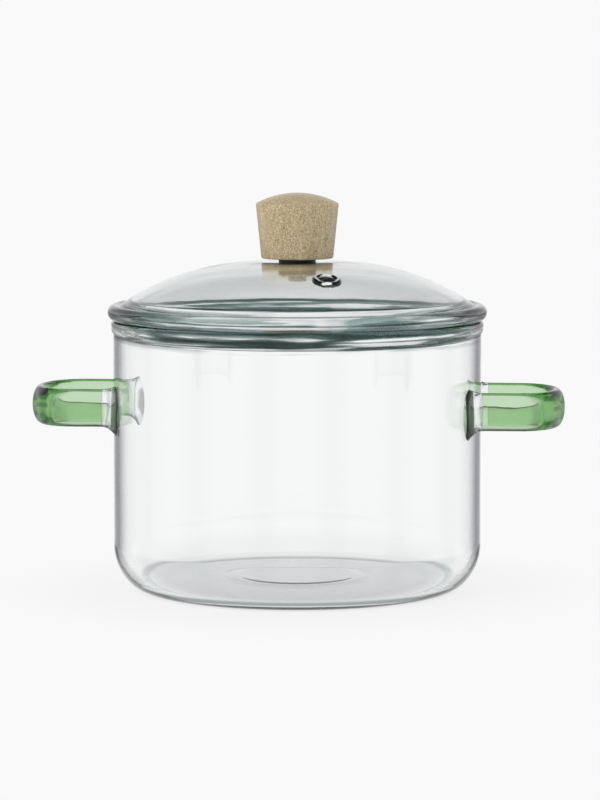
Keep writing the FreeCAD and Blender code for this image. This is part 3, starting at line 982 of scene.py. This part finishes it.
class SAUCEPAN_OT_fixings(bpy.types.Operator):
    """Builds the threaded screw and finishes the insert, washer and gaskets"""
    bl_idname = "saucepan.fixings"
    bl_label = "Fixings"

    head_slot = 0.9 * MM      # width of each slot of the cross recess
    head_span = 4.4 * MM      # length of each slot
    overshoot = 1.0 * MM      # how far the slots' cutter reaches out of the head
    neck = 1.0 * MM           # plain part of the shank next to the head
    around = 40               # facets around the screw
    rows_per_turn = 10        # rings of points in one turn of the thread

    def execute(self, context):
        knob = context.scene.saucepan_knob
        seated(self.screw(knob), "lid", finish("stainless_steel"), "knob_screw")
        for node, name in (
            ("knob_insert", "plain_brass"), ("knob_gasket", "black_silicone"),
            ("lower_gasket", "tan_silicone"), ("screw_washer", "stainless_steel"),
        ):
            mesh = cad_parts[node].data
            mesh.materials.clear()
            mesh.materials.append(finish(name))
        return {"FINISHED"}

    def screw(self, knob):
        """A pan head with a cross recess and a shank whose thread is one helix."""
        low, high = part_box("knob_screw")
        head_radius = high.x
        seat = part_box("screw_washer")[0].z
        crest = knob.shank
        thread_start = seat + self.neck
        section = Contour(0.0, low.z)
        section.line(head_radius - knob.head_round, low.z)
        section.arc(head_radius - knob.head_round, low.z + knob.head_round, QUARTER)
        section.line(head_radius, seat)
        section.line(crest, seat)
        section.line(crest, thread_start)
        rows = round((high.z - thread_start) / knob.pitch * self.rows_per_turn)
        for row in range(1, rows + 1):
            section.points.append((crest, thread_start + (high.z - thread_start) * row / rows))
        section.points.append((0.0, high.z))
        obj = lathe("knob_bolt", section.points, self.around, closed=False)
        for vertex in obj.data.vertices:
            above = vertex.co.z - thread_start
            radius = math.hypot(vertex.co.x, vertex.co.y)
            if above > TOUCH and radius > crest / 2:
                turn = (above / knob.pitch - math.atan2(vertex.co.y, vertex.co.x) / math.tau) % 1.0
                depth = knob.thread_depth * abs(2 * turn - 1) * min(1.0, above / knob.pitch)
                scale = (crest - depth) / radius
                vertex.co.x *= scale
                vertex.co.y *= scale
        smooth(obj)
        corners = ((1, 1), (-1, 1), (-1, -1), (1, -1))
        for size in ((self.head_span, self.head_slot), (self.head_slot, self.head_span)):
            half = Vector(size) / 2
            loops = [
                [Vector((sx * half.x, sy * half.y, low.z + z)) for sx, sy in corners]
                for z in (-self.overshoot, knob.recess)
            ]
            boolean(obj, loft("slot", loops), "DIFFERENCE")
        return obj


class SAUCEPAN_OT_stage(bpy.types.Operator):
    """Sets the pale floor, the soft light and the camera"""
    bl_idname = "saucepan.stage"
    bl_label = "Stage"

    floor_drop = 0.10 * MM    # how far under the object the wide floor lies
    near_drop = 0.05 * MM     # how far under it the near floor lies
    floor_sides = 96          # sides of both discs
    lamp_aim = 0.1            # height over the floor that the lamps face

    def execute(self, context):
        stage = context.scene.saucepan_stage
        context.scene.view_settings.view_transform = "Standard"
        wide = self.disc("floor", stage.floor_radius, -self.floor_drop, self.floor_paint(stage, False))
        wide.visible_transmission = False
        wide.visible_glossy = False
        self.disc("near_floor", stage.near_radius, -self.near_drop, self.floor_paint(stage, True))
        self.surroundings(context.scene, stage)
        self.lamp("key_panel", place=(-0.9, -1.2, 1.5), size=1.0, power=stage.key_power)
        self.lamp("top_panel", place=(0.3, 0.5, 1.9), size=1.2, power=stage.top_power)
        self.camera(context.scene, stage)
        return {"FINISHED"}

    def disc(self, name, radius, height, paint):
        """A flat disc of floor, just under the object."""
        angles = np.linspace(0, math.tau, self.floor_sides + 1)[:-1]
        rim = [(radius * math.cos(angle), radius * math.sin(angle), 0.0) for angle in angles]
        obj = bpy.data.objects.new(name, bpy.data.meshes.new(name))
        obj.data.from_pydata(rim, [], [tuple(range(len(rim)))])
        obj.location.z = height
        obj.data.materials.append(paint)
        bpy.context.scene.collection.objects.link(obj)
        return obj

    def floor_paint(self, stage, shaded):
        """Pale paint that glows evenly; if shaded, it has a painted shadow: a softly darker, faintly lilac
        glow right under the object.
        """
        made, nodes = material(f"pale_floor_{shaded:.0f}")
        away = from_axis(nodes, nodes.place())
        # painted shadow: the glow is darker under the object
        under = nodes.fade(away, stage.shade_inner, stage.shade_outer, stage.shade_level, 1.0)
        level = nodes.calc("MULTIPLY", under if shaded else 1.0, stage.pale)
        # the painted shadow's faint lilac tint
        tint = nodes.ramp(under, (0.5, (0.985, 0.94, 1.0)), (1.0, WHITE))
        glow = nodes.add("ShaderNodeEmission", Color=tint, Strength=level)
        lit = nodes.add("ShaderNodeBsdfDiffuse", Color=(0.93, 0.93, 0.93, 1.0))
        share = nodes.fade(away, stage.shadow_inner, stage.shadow_outer, stage.shadow, 0.0)
        mix = nodes.add("ShaderNodeMixShader", Fac=share, **{"1": glow.outputs[0], "2": lit.outputs[0]})
        nodes.add("ShaderNodeOutputMaterial", Surface=mix.outputs[0])
        return made

    def surroundings(self, scene, stage):
        """A ring of pale light in soft folds, with two dim flags behind the object, under a darker ceiling.

        The camera itself sees none of it, only an even pale tone.
        """
        world = bpy.data.worlds.new("studio")
        world.use_nodes = True
        scene.world = world
        nodes = Nodes(world.node_tree)
        way = nodes.add("ShaderNodeTexCoord").outputs["Generated"]
        parts = nodes.add("ShaderNodeSeparateXYZ", Vector=way)
        around = nodes.calc("ARCTAN2", parts.outputs[1], parts.outputs[0])
        height = nodes.calc("ARCSINE", parts.outputs[2])
        phase = nodes.calc("SUBTRACT", around, QUARTER + stage.azimuth)
        ripple = nodes.calc("COSINE", nodes.calc("MULTIPLY", phase, stage.fold_count))
        ring = nodes.fade(ripple, -1.0, stage.fold_edge, stage.fold_level, 1.0)
        aside = nodes.calc("ARCCOSINE", nodes.calc("COSINE", phase))
        near_edge = nodes.fade(aside, stage.flag_start, stage.flag_full, 0.0, 1.0)
        far_edge = nodes.fade(aside, stage.flag_fade, stage.flag_end, 1.0, 0.0)
        away = nodes.calc("ABSOLUTE", nodes.calc("SUBTRACT", height, stage.flag_height))
        reach = nodes.fade(away, stage.flag_reach, stage.flag_reach + stage.flag_blur, 1.0, 0.0)
        flag = nodes.calc("MULTIPLY", nodes.calc("MULTIPLY", near_edge, far_edge), reach)
        panel = nodes.mapped(flag, 0.0, 1.0, nodes.calc("MULTIPLY", ring, stage.pale), stage.flag_level)
        for low, high, from_share, to_share in (
            (stage.panel_top, stage.panel_fade, 1.0, stage.upper_level),
            (stage.panel_fade, stage.ceiling_start, 1.0, stage.ceiling),
            (stage.under_dark, stage.under_start, stage.under_level, 1.0),
        ):
            panel = nodes.calc("MULTIPLY", panel, nodes.fade(height, low, high, from_share, to_share))
        seen = nodes.add("ShaderNodeLightPath").outputs["Is Camera Ray"]
        shade = nodes.mapped(seen, 0.0, 1.0, panel, stage.pale)
        tint = nodes.ramp(shade, (0.0, (0.93, 0.90, 1.0)), (0.9, WHITE))
        light = nodes.add("ShaderNodeBackground", Color=tint, Strength=shade)
        nodes.add("ShaderNodeOutputWorld", Surface=light.outputs[0])

    def lamp(self, name, place, size, power):
        """A soft square lamp that faces the object and is not mirrored in it."""
        data = bpy.data.lights.new(name, "AREA")
        data.size = size
        data.energy = power
        obj = bpy.data.objects.new(name, data)
        obj.location = place
        way = Vector((0, 0, self.lamp_aim)) - Vector(place)
        obj.rotation_euler = way.to_track_quat("-Z", "Y").to_euler()
        obj.visible_glossy = False
        obj.visible_transmission = False
        bpy.context.scene.collection.objects.link(obj)

    def camera(self, scene, stage):
        """A long lens, a little above the knob and a little to the right."""
        data = bpy.data.cameras.new("camera")
        data.sensor_width = 36.0
        data.lens = stage.lens
        data.shift_x = stage.shift
        obj = bpy.data.objects.new("camera", data)
        back = Vector((
            math.sin(stage.azimuth) * math.cos(stage.elevation),
            -math.cos(stage.azimuth) * math.cos(stage.elevation),
            math.sin(stage.elevation),
        ))
        obj.location = Vector((0, 0, stage.aim_height)) + back * stage.distance
        obj.rotation_euler = (-back).to_track_quat("-Z", "Y").to_euler()
        scene.collection.objects.link(obj)
        scene.camera = obj


class SAUCEPAN_PT_panel(bpy.types.Panel):
    """Lists the steps that build the saucepan"""
    bl_idname = "SAUCEPAN_PT_panel"
    bl_label = "Glass saucepan"
    bl_space_type = "VIEW_3D"
    bl_region_type = "UI"
    bl_category = "Saucepan"

    def draw(self, context):
        for step in STEPS:
            self.layout.operator(step.bl_idname)


STEPS = (
    SAUCEPAN_OT_stage,
    SAUCEPAN_OT_pot,
    SAUCEPAN_OT_handles,
    SAUCEPAN_OT_welds,
    SAUCEPAN_OT_lid,
    SAUCEPAN_OT_knob,
    SAUCEPAN_OT_fixings,
)
SETTINGS = {
    "saucepan_pot": PotSettings,
    "saucepan_lid": LidSettings,
    "saucepan_handles": HandleSettings,
    "saucepan_knob": KnobSettings,
    "saucepan_finish": FinishSettings,
    "saucepan_stage": StageSettings,
}


def register():
    for name, group in SETTINGS.items():
        bpy.utils.register_class(group)
        setattr(bpy.types.Scene, name, bpy.props.PointerProperty(type=group))
    for step in STEPS:
        bpy.utils.register_class(step)
    bpy.utils.register_class(SAUCEPAN_PT_panel)


def unregister():
    bpy.utils.unregister_class(SAUCEPAN_PT_panel)
    for step in reversed(STEPS):
        bpy.utils.unregister_class(step)
    for name, group in reversed(SETTINGS.items()):
        delattr(bpy.types.Scene, name)
        bpy.utils.unregister_class(group)


def main():
    register()
    for step in STEPS:
        group, name = step.bl_idname.split(".")
        getattr(getattr(bpy.ops, group), name)()


if __name__ == "__main__":
    main()
